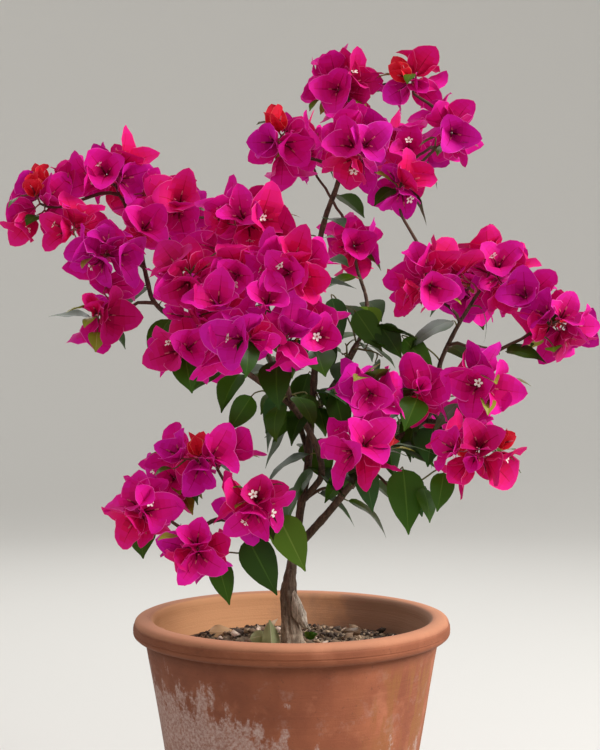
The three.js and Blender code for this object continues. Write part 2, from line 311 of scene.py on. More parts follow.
pot = throw_pot()
bore_drains(pot)
weather_clay(pot)
activate(pot)
bpy.ops.object.shade_smooth_by_angle(angle=math.radians(40))
pot.data.materials.append(terracotta())
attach(pot, "root")
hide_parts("pot")


# ---- The compost --------------------------------------------------------------------------------
# Moist bark compost, filled to just under the rim: a lumpy bed with crumbs, bark chips and a few
# old leaves lying on it. The bed is a disc inset into rings, and the bits are scattered by seed.

compost_low, compost_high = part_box("compost")
COMPOST_LEVEL = 0.248
COMPOST_RADIUS = (compost_high.x - compost_low.x) / 2
BED_DEPTH = 0.02
BED_RINGS = 44
HEAPS = ((0.036, 0.048), (-0.044, 0.050), (0.070, 0.010))
HEAP_HEIGHT = 0.008
HEAP_SPREAD = 0.022
LITTER_COUNT = 1900
LITTER_MARGIN = 0.008
CLEAR_OF_TRUNK = 0.014
CHIP_EVERY = 5
LARGE_CHIP_EVERY = 40
# About one full turn, in radians, for whatever may lie any way round.
ANY_TURN = 6.3
LITTER_FINISHES = (
    ("litter_dark", 0.95, (66, 52, 42)), ("litter_brown", 0.95, (126, 102, 80)),
    ("litter_tan", 0.9, (176, 150, 122)), ("litter_pale", 0.9, (224, 200, 180)))


def bed_height(x, y):
    """The lie of the compost: level at the trunk, lumpy outside it."""
    place = Vector((x, y, 0))
    lumps = noise.noise(place * 42) * 0.0042 + noise.noise(place * 110) * 0.0030
    crumbs = abs(noise.noise(place * 260)) * 0.0024
    heaped = 0.0
    for heap_x, heap_y in HEAPS:
        heaped += HEAP_HEIGHT * math.exp(-((x - heap_x) ** 2 + (y - heap_y) ** 2) / HEAP_SPREAD ** 2)
    return COMPOST_LEVEL + (lumps + crumbs) * min(1.0, place.length / 0.03) + heaped


def lay_bed():
    bed = new_disc("compost_bed", COMPOST_RADIUS - 0.0002, 120, COMPOST_LEVEL - BED_DEPTH)
    bpy.ops.mesh.extrude_region_move(TRANSFORM_OT_translate={"value": (0, 0, BED_DEPTH)})
    for _ in range(BED_RINGS):
        bpy.ops.mesh.inset(thickness=COMPOST_RADIUS / (BED_RINGS + 3), depth=0)
    close_up()
    bpy.ops.object.transform_apply(location=True)
    for vertex in bed.data.vertices:
        if vertex.co.z > COMPOST_LEVEL - 0.001 and vertex.co.xy.length < COMPOST_RADIUS - 0.001:
            vertex.co.z = bed_height(vertex.co.x, vertex.co.y)
    bed.data.shade_smooth()
    return bed


def compost_finish():
    compost = Finish("compost", 0.95)
    crumbs = compost.between(compost.grain(120), 0.35, 0.65)
    compost.colour = compost.mix(crumbs, (80, 64, 50), (156, 134, 108))
    return compost.apply(compost.grain(420, 4), 0.0018)


class Heap:
    """Many small shapes gathered into one mesh, each with its own finishes."""

    def __init__(self):
        self.points = []
        self.faces = []
        self.tints = []
        self.count = 0

    def add(self, points, faces, tints):
        points = np.asarray(points, float).reshape(-1, 3)
        faces = np.asarray(faces, int)
        self.points.append(points)
        self.faces.append(faces + self.count)
        self.tints.append(np.broadcast_to(np.asarray(tints, int), len(faces)))
        self.count += len(points)

    def make(self, name, finishes):
        points = np.concatenate(self.points)
        sizes = np.concatenate([np.full(len(f), f.shape[1]) for f in self.faces])
        corners = np.concatenate([f.ravel() for f in self.faces])
        mesh = bpy.data.meshes.new(name)
        mesh.vertices.add(len(points))
        mesh.vertices.foreach_set("co", points.ravel())
        mesh.loops.add(len(corners))
        mesh.loops.foreach_set("vertex_index", corners)
        mesh.polygons.add(len(sizes))
        mesh.polygons.foreach_set("loop_start", np.cumsum(sizes) - sizes)
        mesh.polygons.foreach_set("material_index", np.concatenate(self.tints))
        mesh.polygons.foreach_set("use_smooth", np.ones(len(sizes), bool))
        mesh.update(calc_edges=True)
        for finish in finishes:
            mesh.materials.append(finish)
        piece = bpy.data.objects.new(name, mesh)
        bpy.context.collection.objects.link(piece)
        return piece


def turned(direction, roll):
    """A rotation that takes +Z to a direction, after a roll about it."""
    upright = Vector(direction).to_track_quat("Z", "Y").to_matrix()
    return np.array(upright @ Matrix.Rotation(roll, 3, "Z"))


def crumb_shape(seed):
    """An uneven eight-sided crumb, about 2 across."""
    chance = random.Random(seed)
    corners = [(1, 0, 0), (0, 1, 0), (-1, 0, 0), (0, -1, 0), (0, 0, 1), (0, 0, -1)]
    points = [[value + chance.uniform(-0.25, 0.25) for value in corner] for corner in corners]
    faces = [(0, 1, 4), (1, 2, 4), (2, 3, 4), (3, 0, 4), (1, 0, 5), (2, 1, 5), (3, 2, 5), (0, 3, 5)]
    return np.array(points), faces


def plain_finishes(recipes):
    return [Finish(name, roughness, colour).material for name, roughness, colour in recipes]


def scatter_litter():
    chance = random.Random(11)
    heap = Heap()
    kinds = [crumb_shape(seed) for seed in range(9)]
    for index in range(LITTER_COUNT):
        reach = (COMPOST_RADIUS - LITTER_MARGIN) * math.sqrt(chance.random())
        turn = chance.uniform(0, 2 * math.pi)
        x, y = reach * math.cos(turn), reach * math.sin(turn)
        if reach < CLEAR_OF_TRUNK:
            continue
        chip = index % CHIP_EVERY == 0
        size = chance.uniform(0.0030, 0.0080) if chip else chance.uniform(0.0012, 0.0038)
        if index % LARGE_CHIP_EVERY == 0:
            size = chance.uniform(0.009, 0.013)
        form = np.array((size, size * chance.uniform(0.3, 0.7), size * chance.uniform(0.2, 0.45)))
        if not chip:
            form = np.full(3, size) * (1, 0.8, 0.7)
        lean = (chance.gauss(0, 0.35), chance.gauss(0, 0.35), 1)
        points, faces = kinds[index % len(kinds)]
        placed = (points * form) @ turned(lean, chance.uniform(0, ANY_TURN)).T
        placed += (x, y, bed_height(x, y) + form[2] * 0.5)
        tint = chance.choice((0, 0, 0, 1, 1, 2, 3)) if chip else chance.choice((0, 0, 0, 1, 1, 2))
        heap.add(placed, faces, tint)
    return heap.make("bark_litter", plain_finishes(LITTER_FINISHES))


bed = lay_bed()
bed.data.materials.append(compost_finish())
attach(bed, "root")
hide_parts("compost")

litter = scatter_litter()
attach(litter, "root")


# ---- The trunk ----------------------------------------------------------------------------------
# One short woody stem, cut flat at the compost. Its bark is grey-brown and furrowed, and on the
# right a strip of it has peeled and dried into a pale fibrous flap above the root flare.

trunk_low, trunk_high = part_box("trunk")
TRUNK_LENGTH = trunk_high.z - trunk_low.z
TRUNK_SIDES = 144
TRUNK_RINGS = 140
# Up the trunk from the compost in millimetres, with its radius and its lean to the right there.
TRUNK_STATIONS = (0, 11, 34, 60, 72, 88, 114)
TRUNK_RADII = (13.0, 11.0, 8.6, 7.9, 6.2, 4.7, 4.9)
TRUNK_LEAN = (0.0, -0.3, -2.6, -3.4, -2.2, 0.0, 4.0)
FLAP_ROUTE = ((0, -5, 309), (3, -7, 301), (5, -8, 290), (9, -8, 281), (13, -7, 274), (18, -6, 270))
FLAP_RADII = (1.5, 4.2, 7.2, 7.0, 4.4, 0.7)
FLAP_SIDES = 40
FLAP_FLATNESS = 0.5


def trunk_reach(turn, up):
    """The trunk's radius towards an angle, so far up it."""
    girth = np.interp(up, TRUNK_STATIONS, TRUNK_RADII)
    roots = 1.6 * math.exp(-up / 13) * math.cos(3 * turn + 0.6)
    furrow = 0.05 * girth * math.sin(9 * turn + 0.06 * up) * math.exp(-up / 160)
    ring = 0.5 * math.exp(-((up - 66) / 2.5) ** 2)
    return girth + roots + furrow + ring


def shape_trunk():
    deselect()
    bpy.ops.mesh.primitive_cylinder_add(vertices=TRUNK_SIDES, radius=1, depth=TRUNK_LENGTH)
    trunk = bpy.context.object
    trunk.name = "trunk_bark"
    bpy.ops.object.mode_set(mode="EDIT")
    bpy.ops.mesh.select_mode(type="EDGE")
    bpy.ops.mesh.select_all(action="DESELECT")
    bpy.ops.object.mode_set(mode="OBJECT")
    for edge in trunk.data.edges:
        ends = [trunk.data.vertices[index].co.z for index in edge.vertices]
        edge.select = abs(ends[0] - ends[1]) > TRUNK_LENGTH / 2
    bpy.ops.object.mode_set(mode="EDIT")
    bpy.ops.mesh.subdivide(number_cuts=TRUNK_RINGS)
    bpy.ops.mesh.select_mode(type="VERT")
    bpy.ops.object.mode_set(mode="OBJECT")
    for vertex in trunk.data.vertices:
        up = (vertex.co.z + TRUNK_LENGTH / 2) / MILLIMETRE
        turn = math.atan2(vertex.co.y, vertex.co.x)
        out = Vector((math.cos(turn), math.sin(turn), 0))
        place = out * trunk_reach(turn, up) + Vector((np.interp(up, TRUNK_STATIONS, TRUNK_LEAN), 0, up))
        bark = noise.noise(Vector((place.x * 0.42, place.y * 0.42, place.z * 0.11))) * 0.75
        bark += noise.noise(Vector((place.x * 0.95, place.y * 0.95, place.z * 0.28))) * 0.35
        vertex.co = (place + out * bark) * MILLIMETRE + Vector((0, 0, trunk_low.z))
    activate(trunk)
    bpy.ops.object.shade_smooth_by_angle(angle=math.radians(60))
    return trunk


def smooth_route(route, step):
    """Points every step or so along a smooth curve through the route's points."""
    knots = [np.array(point, float) for point in route]
    knots = [2 * knots[0] - knots[1]] + knots + [2 * knots[-1] - knots[-2]]
    points = []
    for before, start, end, after in zip(knots, knots[1:], knots[2:], knots[3:]):
        pieces = max(2, int(np.linalg.norm(end - start) / step))
        for t in np.arange(pieces) / pieces:
            points.append(0.5 * (2 * start + (end - before) * t
                                 + (2 * before - 5 * start + 4 * end - after) * t * t
                                 + (3 * start - before - 3 * end + after) * t ** 3))
    points.append(knots[-2])
    return np.array(points)


def unit(vector):
    return vector / np.linalg.norm(vector)


def headings_of(points):
    """Which way a path runs at each of its points."""
    along = np.gradient(points, axis=0)
    return along / np.linalg.norm(along, axis=1)[:, None]


def sweep(points, radii, sides, relief=0.0, squash=1.0):
    """A closed round tube along points, with a radius at each. Relief roughens it like bark."""
    points = np.asarray(points, float)
    along = headings_of(points)
    across = np.cross(along[0], (0.31, 0.95, 0.05))
    turns = np.arange(sides) / sides * 2 * math.pi
    rings = []
    for place, direction, radius in zip(points, along, radii):
        across = unit(across - direction * across.dot(direction))
        other = squash * np.cross(direction, across)
        ring = place + radius * (np.outer(np.cos(turns), across) + np.outer(np.sin(turns), other))
        if relief:
            for corner in ring:
                rise = noise.noise(Vector(corner * 330)) + 0.5 * noise.noise(Vector(corner * 800))
                corner += (corner - place) / radius * rise * relief
        rings.append(ring)
    rings.append([points[0] - along[0] * radii[0] * 0.3, points[-1] + along[-1] * radii[-1] * 0.5])
    corners = np.arange(sides)
    following = (corners + 1) % sides
    starts = np.arange(len(points) - 1)[:, None] * sides
    walls = np.stack([starts + corners, starts + following,
                      starts + sides + following, starts + sides + corners], axis=-1).reshape(-1, 4)
    top = (len(points) - 1) * sides
    poles = np.full(sides, top + sides)
    caps = np.concatenate([np.column_stack([poles, following, corners]),
                           np.column_stack([poles + 1, top + corners, top + following])])
    return np.concatenate(rings), walls, caps


def add_tube_to(heap, tube, walls, caps, tint):
    """Lays a tube on a heap. Its caps take the tube's own tint, or the highest of several."""
    heap.add(tube, walls, tint)
    heap.faces.append(caps + heap.count - len(tube))
    heap.tints.append(np.full(len(caps), np.max(tint)))


def bark_finish(name, dark, light, pale, streak=(420, 420, 90), turn=(0, 0, 0), foot=None, top=None):
    """Bark streaked from dark to light, with pale flakes, and with its own tint at foot and top."""
    bark = Finish(name, 0.9)
    streaks = bark.grain(1, 5, 0.7, streak, turn)
    flakes = bark.grain(160, 5, 0.7)
    bark.colour = bark.mix(bark.between(streaks, 0.36, 0.64), dark, light)
    bark.coat(bark.between(flakes, 0.55, 0.70, 0, 0.7), pale)
    if foot:
        up = bark.axes()[2]
        worn = bark.between(flakes, 0.35, 0.60, 0.1, 1.0)
        bark.coat(bark.product(worn, bark.between(up, 0.262, 0.284, 0.75, 0)), foot)
        bark.coat(bark.between(up, 0.275, 0.305, 0, 0.45), top)
    return bark.apply(bark.combine("ADD", streaks, flakes), 0.0010)


def peel_flap():
    """The dried flap: a flat tapering strip with fibres along it."""
    route = smooth_route(FLAP_ROUTE, 0.6)
    stations = np.linspace(0, 1, len(FLAP_RADII))
    radii = np.interp(np.linspace(0, 1, len(route)), stations, FLAP_RADII)
    tube, walls, caps = sweep(route, radii, FLAP_SIDES, squash=FLAP_FLATNESS)
    for ring, place in enumerate(route):
        for corner in range(FLAP_SIDES):
            point = tube[ring * FLAP_SIDES + corner]
            fibre = noise.noise(Vector((corner * 0.55, ring * 0.035, 0)))
            fibre += 0.6 * noise.noise(Vector((corner * 1.3, ring * 0.09, 5)))
            point += (point - place) * 0.26 * fibre
    heap = Heap()
    add_tube_to(heap, tube * MILLIMETRE, walls, caps, 0)
    return heap.make("peeled_strip", [flap_finish])


trunk_finish = bark_finish("trunk_bark", (76, 61, 49), (150, 127, 106), (196, 176, 154),
                           foot=(196, 176, 154), top=(72, 56, 43))
flap_finish = bark_finish("peeled_bark", (140, 124, 108), (236, 222, 204), (250, 242, 228),
                          streak=(500, 500, 70), turn=(0, 0.45, 0))
trunk = shape_trunk()
trunk.data.materials.append(trunk_finish)
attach(trunk, "root")
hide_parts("trunk")

strip = peel_flap()
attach(strip, "root")


# ---- The boughs ---------------------------------------------------------------------------------
# The limbs that leave the trunk at its fork and carry the sprays. Each is swept along its route
# with a thinning round section, swollen a little at its nodes, in dark brown bark.

# Each limb's radius at its two ends in metres, and its route in millimetres.
LIMBS = {
    "leader": ((0.0043, 0.0024), (
        (4, 0, 357), (10, 4, 399), (15, 8, 424), (18, 11, 460), (24, 16, 550), (26, 19, 640),
        (33, 14, 680), (46, 0, 716), (52, -10, 745))),
    "bough_right": ((0.0044, 0.0024), (
        (5, -3, 352), (19, -9, 368), (36, -17, 388), (53, -25, 410), (70, -40, 433),
        (76, -56, 458), (79, -68, 482))),
    "bough_left": ((0.0034, 0.0027), (
        (11, 5, 398), (20, -8, 410), (29, -14, 424), (27, -16, 446), (14, -24, 474),
        (0, -34, 494), (-22, -40, 511), (-48, -42, 530))),
    "bough_left_outer": ((0.0027, 0.0020), (
        (-48, -42, 530), (-90, -40, 562), (-132, -24, 592), (-143, -16, 618), (-152, -8, 655),
        (-165, 0, 690))),
    "bough_centre": ((0.0028, 0.0018), (
        (2, -32, 491), (-3, -44, 508), (-9, -60, 536), (-16, -80, 566), (-24, -100, 596))),
    "bough_lower_left": ((0.0032, 0.0018), (
        (0, -4, 342), (-10, -10, 352), (-22, -20, 366), (-50, -42, 380), (-72, -62, 386),
        (-92, -80, 376))),
    "bough_upper_right": ((0.0030, 0.0026), (
        (58, -28, 414), (76, -18, 436), (98, -4, 456), (128, 4, 474), (146, 5, 494))),
    "bough_right_riser": ((0.0026, 0.0018), (
        (146, 5, 494), (149, 4, 512), (148, 2, 534), (162, 0, 566), (182, 0, 600))),
    "bough_outer_right": ((0.0026, 0.0018), (
        (132, 2, 478), (150, -14, 478), (164, -30, 484), (174, -50, 502))),
    "bough_rear": ((0.0030, 0.0018), (
        (17, 11, 442), (8, 32, 470), (-8, 58, 505), (-26, 86, 545), (-44, 112, 590),
        (-52, 130, 625))),
    "bough_rear_right": ((0.0028, 0.0018), (
        (20, 13, 478), (40, 34, 510), (66, 70, 550), (80, 108, 595), (70, 132, 638))),
    "bough_side": ((0.0024, 0.0016), (
        (98, -2, 457), (108, 26, 470), (126, 62, 478), (150, 88, 482))),
}
LIMB_STEP = 3.0
LIMB_SIDES = 14
# A limb swells a little at its nodes, which lie this many millimetres apart.
NODE_GAP = 31

limb_finish = bark_finish("bough_bark", (50, 38, 30), (98, 76, 58), (136, 110, 88))
limb_routes = {}
for limb_name, (limb_radii, limb_route) in LIMBS.items():
    route = smooth_route(limb_route, LIMB_STEP) * MILLIMETRE
    limb_routes[limb_name] = route
    past_node = (np.arange(len(route)) * LIMB_STEP + 9) % NODE_GAP - 15
    thickness = np.linspace(*limb_radii, len(route)) * (1 + 0.10 * np.exp(-(past_node / 3.5) ** 2))
    heap = Heap()
    add_tube_to(heap, *sweep(route, thickness, LIMB_SIDES, 0.0003), 0)
    limb = heap.make(limb_name + "_bark", [limb_finish])
    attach(limb, "root")
    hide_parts(limb_name)


# ---- The twigs ----------------------------------------------------------------------------------
# Thin brown shoots carry each spray out from the nearest wood, and greener stalks fan out from
# them to every bloom and leaf. They branch by one rule: grow from the wood that is nearest by road.

NOT_SPRAYS = ("pot", "compost", "trunk", "leader", "bough")
SPRAY_NODES = sorted(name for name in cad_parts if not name.startswith(NOT_SPRAYS))
# The masses of leaves without blossom, with how many leafy shoots each has.
LEAFY = {"right_under": 4, "leaves_fork": 2, "leaves_middle": 5, "leaves_low": 0, "leaves_right": 1}
BLOOMING = [name for name in SPRAY_NODES if name not in LEAFY]
MIDDLE_OF_BUSH = np.array((0.0, 0.0, 0.50))
ROAD_WEIGHT = 0.30
# About half a turn, and the turn from each shoot or leaf to the next, in radians.
ANY_TILT = 3.1
NEXT_SHOOT = 2.39996
NEXT_LEAF = 2.4
chance = random.Random(2024)


def jitter(spread):
    return [chance.gauss(0, spread) for _ in range(3)]


def road_along(points):
    """How far it is along a path to each of its points."""
    return np.concatenate([[0], np.cumsum(np.linalg.norm(np.diff(points, axis=0), axis=1))])


class Wood:
    """All the wood that something can grow from: places, directions and roads to the root."""

    def __init__(self):
        self.places = np.zeros((0, 3))
        self.directions = np.zeros((0, 3))
        self.roads = np.zeros(0)

    def lay(self, points, road):
        self.places = np.concatenate([self.places, points])
        self.directions = np.concatenate([self.directions, headings_of(points)])
        self.roads = np.concatenate([self.roads, road + road_along(points)])

    def nearest(self, place):
        """The index to grow from, and its cost."""
        cost = np.linalg.norm(self.places - place, axis=1) + ROAD_WEIGHT * self.roads
        best = int(np.argmin(cost))
        return best, cost[best]


def shoot(wood, target, arrive, step, wander):
    """A curved path from the nearest wood to a target, arriving in a direction."""
    index, _ = wood.nearest(target)
    start, leave = wood.places[index], wood.directions[index]
    gap = np.linalg.norm(target - start)
    towards = (target - start) / max(gap, 1e-6)
    leave = unit(leave + towards * 1.3)
    controls = [start, start + leave * gap * 0.38, target - np.asarray(arrive) * gap * 0.34, target]
    pieces = max(3, int(gap / step))
    t = (np.arange(pieces + 1) / pieces)[:, None]
    path = ((1 - t) ** 3 * controls[0] + 3 * (1 - t) ** 2 * t * controls[1]
            + 3 * (1 - t) * t ** 2 * controls[2] + t ** 3 * controls[3])
    for inner in range(1, pieces):
        path[inner] += jitter(wander)
    return path, wood.roads[index]


wood = Wood()
for route in limb_routes.values():
    wood.lay(route[6:], float(route[0][2] - trunk_low.z) * 0.5)

masses = {}
for name in SPRAY_NODES:
    low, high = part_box(name)
    masses[name] = (np.array((low + high) / 2), np.array((high - low) / 2))

twig_heap = Heap()
WOODY, GREEN_STALK, PINK_STALK = 0, 1, 2


def add_stalk(path, start_radius, end_radius, sides, tint):
    radii = np.linspace(start_radius, end_radius, len(path))
    add_tube_to(twig_heap, *sweep(path, radii, sides), tint)


def at_height(limb, height):
    route = limb_routes[limb]
    return route[np.argmin(abs(route[:, 2] - height))]


# A short stem has grown across from the leader to the right bough, a little above the fork.
stem_start, stem_end = at_height("leader", 0.397), at_height("bough_right", 0.411)
stem_crest = (stem_start + stem_end) / 2 + (0, 0, 0.008)
add_stalk(smooth_route((stem_start, stem_crest, stem_end), 0.003), 0.0018, 0.0014, 8, WOODY)

# Each spray's own shoot, from the one that the wood reaches soonest to the furthest.
waiting = dict(masses)
while waiting:
    name = min(waiting, key=lambda mass: wood.nearest(waiting[mass][0])[1])
    centre, half = waiting.pop(name)
    path, road = shoot(wood, centre, unit(centre - MIDDLE_OF_BUSH), 0.008, 0.0007)
    add_stalk(path, 0.0019, 0.0012, 6, WOODY)
    wood.lay(path[1:], road)


# ---- The blooms ---------------------------------------------------------------------------------
# Each bloom is three papery bracts round three slender flower tubes, of which one now and then
# opens into a white star. Bracts are thin, cupped and pointed, crimson deep in and magenta outside.

BRACT_ROWS = np.array((0, 0.08, 0.18, 0.29, 0.41, 0.53, 0.66, 0.79, 0.92, 1.0))
BRACT_COLUMNS = np.array((-1, -0.95, -0.52, -0.03, 0.03, 0.52, 0.95, 1))
BLOOM_SPACING = 0.0222
AREA_PER_BLOOM = 0.0015
BLOOM_REACH = 0.034
BLOOM_RISE = 0.35
FACE_HEIGHT = 0.018
# Past this part of its way out from a spray's middle, a bloom shows.
BURIED_WITHIN = 0.62
CROWDING = {"top": 0.78, "right": 1.2}
JOINED = ("left", "centre", "right")
JOIN_GAP = 0.020
JOIN_TRIES = 7
# How strongly each bract glows with its own colour: a painted glow that no lamp gives.
BRACT_GLOW = 0.19
# Each tint at the throat, half way out, at the outside, and on the thin edge, which is painted paler as a
# highlight.
BRACT_TINTS = {
    "magenta": ((150, 2, 64), (194, 8, 106), (202, 16, 136), (216, 76, 160)),
    "violet": ((138, 2, 70), (182, 8, 116), (194, 18, 146), (210, 80, 170)),
    "crimson": ((150, 2, 46), (196, 8, 78), (202, 16, 112), (216, 76, 138)),
    "deep": ((120, 0, 38), (172, 4, 74), (186, 12, 106), (198, 66, 128)),
    "young": ((140, 8, 20), (194, 18, 40), (204, 34, 58), (220, 92, 84)),
}
TINT_NAMES = list(BRACT_TINTS)
TINT_SHARES = (50, 20, 20, 7, 3)
YOUNG_SPRAYS = ("left_upper", "left_far", "top_spray", "top_left", "wreath_top", "right_under",
                "rear_left")
BRACT_TONES = 8
# The last tone is the pale edge, a painted highlight.
EDGE = BRACT_TONES - 1
BRACT_GRAIN = 0.10
BRACT_PATTERNS = 8
BRACT_LENGTH = 0.038
BRACT_HALF_WIDTH = 0.0172


def tone_of(tint, tone):
    """A bract's colour at one of its tones, from 0 at the throat to the edge."""
    throat, halfway, outside, edge = (np.array(colour, float) for colour in BRACT_TINTS[tint])
    if tone == EDGE:
        return tuple(edge)
    out = tone / (EDGE - 1)
    if out < 0.5:
        return tuple(throat + (halfway - throat) * out * 2)
    return tuple(halfway + (outside - halfway) * (out - 0.5) * 2)


def width_profile(v):
    """How wide a bract is along its length, 1 at its widest."""
    return np.sin(math.pi * np.clip(v, 0, 1) ** 0.78) ** 0.62


def grid_faces(rows, columns):
    faces = []
    for row in range(rows - 1):
        for column in range(columns - 1):
            first = row * columns + column
            faces.append((first, first + 1, first + columns + 1, first + columns))
    return np.array(faces)


def bract_zones(seed):
    """Which tone each face of a bract takes, from the throat to the edge."""
    speckle = random.Random(seed)
    zones = []
    for v in (BRACT_ROWS[:-1] + BRACT_ROWS[1:]) / 2:
        for c in (BRACT_COLUMNS[:-1] + BRACT_COLUMNS[1:]) / 2:
            depth = v * 1.05 + abs(c) * 0.30 + speckle.uniform(-BRACT_GRAIN, BRACT_GRAIN)
            zone = min(max(int(depth * (EDGE - 0.5)), 0), EDGE - 1)
            # The outermost strip takes the pale edge tone, a painted highlight.
            if abs(c) > 0.96:
                zone = EDGE
            if abs(c) < 0.1 and v < 0.8:
                zone = max(0, zone - 2)
            zones.append(zone)
    return np.array(zones)


BRACT_FACES = grid_faces(len(BRACT_ROWS), len(BRACT_COLUMNS))
BRACT_ZONES = [bract_zones(seed) for seed in range(BRACT_PATTERNS)]


def bract_points(length, half_width, lean, flare, cup, ruffle, phase, twist, curl_back):
    """One bract, standing on the bloom's axis: columns are out from it, round it and along it."""
    lean_here = lean + (flare - lean) * BRACT_ROWS ** 0.85 + curl_back * BRACT_ROWS ** 4
    steps = np.diff(BRACT_ROWS, prepend=0) * length
    out = 0.0012 + np.cumsum(np.sin(lean_here) * steps)
    rise = np.cumsum(np.cos(lean_here) * steps)
    points = np.zeros((len(BRACT_ROWS), len(BRACT_COLUMNS), 3))
    for row, v in enumerate(BRACT_ROWS):
        reach = half_width * width_profile(v) + 0.0009 * (1 - v)
        inward = np.array((-math.cos(lean_here[row]), 0, math.sin(lean_here[row])))
        for column, c in enumerate(BRACT_COLUMNS):
            curl = cup * (1 - 1.3 * v) * c * c + 0.14 * abs(c)
            wave = ruffle * abs(c) ** 2.5 * (math.sin(8 * v + phase + 2.1 * (c > 0))
                                             + 0.5 * math.sin(19 * v + 2 * phase + 1.1 * (c > 0)))
            place = np.array((out[row], reach * c * (1 - 0.12 * abs(c)), rise[row]))
            points[row, column] = place + inward * reach * (curl + wave + twist * c * v)
    return points.reshape(-1, 3)


def star_points():
    """An open flower: a five-lobed star with notched lobes, 1 in radius."""
    points = [(0, 0, -0.25)]
    for corner in range(20):
        turn = corner / 20 * 2 * math.pi
        reach = (0.42, 0.86, 1.0, 0.86)[corner % 4]
        points.append((reach * math.cos(turn), reach * math.sin(turn), 0.05 if corner % 4 else -0.1))
    faces = [(0, 1 + corner, 1 + (corner + 1) % 20) for corner in range(20)]
    return np.array(points), np.array(faces)


STAR_POINTS, STAR_FACES = star_points()
TUBE_RED, TUBE_PALE, STAR_WHITE, STAR_EYE = range(4)
flower_heap = Heap()


def add_tube(base, side, axis, length, opened):
    """A flower tube up the middle of a bract: a closed bud, or a white star on its end."""
    tip = base + axis * length * 0.93 + side * length * 0.34
    middle = base + axis * length * 0.5 + side * length * 0.10
    path = np.array([base, (base + middle) / 2 + side * 0.0004, middle, (middle + tip) / 2, tip])
    radii = np.array((0.0006, 0.0009, 0.0008, 0.0009, 0.0011 if opened else 0.0005))
    rows = np.repeat(np.arange(4), 5)
    add_tube_to(flower_heap, *sweep(path, radii, 5), np.where(rows > 2, TUBE_PALE, TUBE_RED))
    if opened:
        facing = turned(tip - middle, chance.uniform(0, ANY_TURN))
        star = (STAR_POINTS * chance.uniform(0.0042, 0.0052)) @ facing.T
        flower_heap.add(star + tip + (tip - middle) * 0.02, STAR_FACES, STAR_WHITE)
        flower_heap.add(star * 0.24 + tip + facing[:, 2] * 0.0004, STAR_FACES, STAR_EYE)


def cluster_of(name):
    return "low_right" if name.startswith("low_right") else name.split("_")[0]


def reach_of(name, direction):
    """How far a mass reaches from its centre in a direction."""
    return 1 / np.linalg.norm(direction / masses[name][1])


def spray_sites(name):
    """Places evenly spread all round one spray, as a base and the way out from it."""
    centre, half = masses[name]
    crowding = CROWDING.get(cluster_of(name), 1.0)
    count = max(4, round(4 * math.pi * float(half.mean()) ** 2 / AREA_PER_BLOOM * crowding))
    spin = Matrix.Rotation(chance.uniform(0, ANY_TURN), 3, "Z")
    spin = spin @ Matrix.Rotation(chance.uniform(0, ANY_TILT), 3, "X")
    for index in range(count):
        level = 1 - 2 * (index + 0.5) / count
        turn = index * NEXT_SHOOT
        flat = math.sqrt(1 - level * level)
        direction = np.array(spin @ Vector((flat * math.cos(turn), flat * math.sin(turn), level)))
        direction = unit(direction + jitter(0.14))
        span = np.linalg.norm(direction * half)
        depth = max(0.14, 1 - BLOOM_REACH * chance.uniform(0.9, 1.12) / span)
        yield centre + direction * half * depth, direction


def join_sites(first, second):
    """Places round the join of two neighbouring sprays, where their blooms meet."""
    gap = masses[second][0] - masses[first][0]
    distance = np.linalg.norm(gap)
    along = gap / distance
    near, far = reach_of(first, along), reach_of(second, along)
    if distance > near + far + JOIN_GAP:
        return
    middle = masses[first][0] + gap * near / (near + far)
    size = (masses[first][1].mean() + masses[second][1].mean()) / 2
    for turn in range(JOIN_TRIES):
        direction = turned(along, turn / JOIN_TRIES * 2 * math.pi)[:, 0]
        yield middle + direction * max(0.004, size * 0.75 - BLOOM_REACH), direction


def all_tries():
    """Every place where a bloom might stand, with its spray and the way out from it."""
    for name in BLOOMING:
        for place, out in spray_sites(name):
            yield name, place, out
    for first in BLOOMING:
        for second in BLOOMING:
            if first < second and cluster_of(first) == cluster_of(second) and cluster_of(first) in JOINED:
                for place, out in join_sites(first, second):
                    yield first, place, out


def buried(face, name):
    """Whether a bloom's face would lie deep inside another spray."""
    return any(np.linalg.norm((face - masses[other][0]) / masses[other][1]) < BURIED_WITHIN
               for other in BLOOMING if other != name)


def bloom_sites():
    """Where each bloom stands and which way it faces, spaced apart over the whole crown."""
    sites = []
    faces = np.zeros((0, 3))
    for name, base, direction in all_tries():
        aim = unit(direction + (0, 0, BLOOM_RISE))
        face = base + aim * FACE_HEIGHT
        crowded = len(faces) and np.linalg.norm(faces - face, axis=1).min() < BLOOM_SPACING
        if not crowded and not buried(face, name):
            faces = np.vstack([faces, face])
            sites.append((name, base, aim))
    return sites


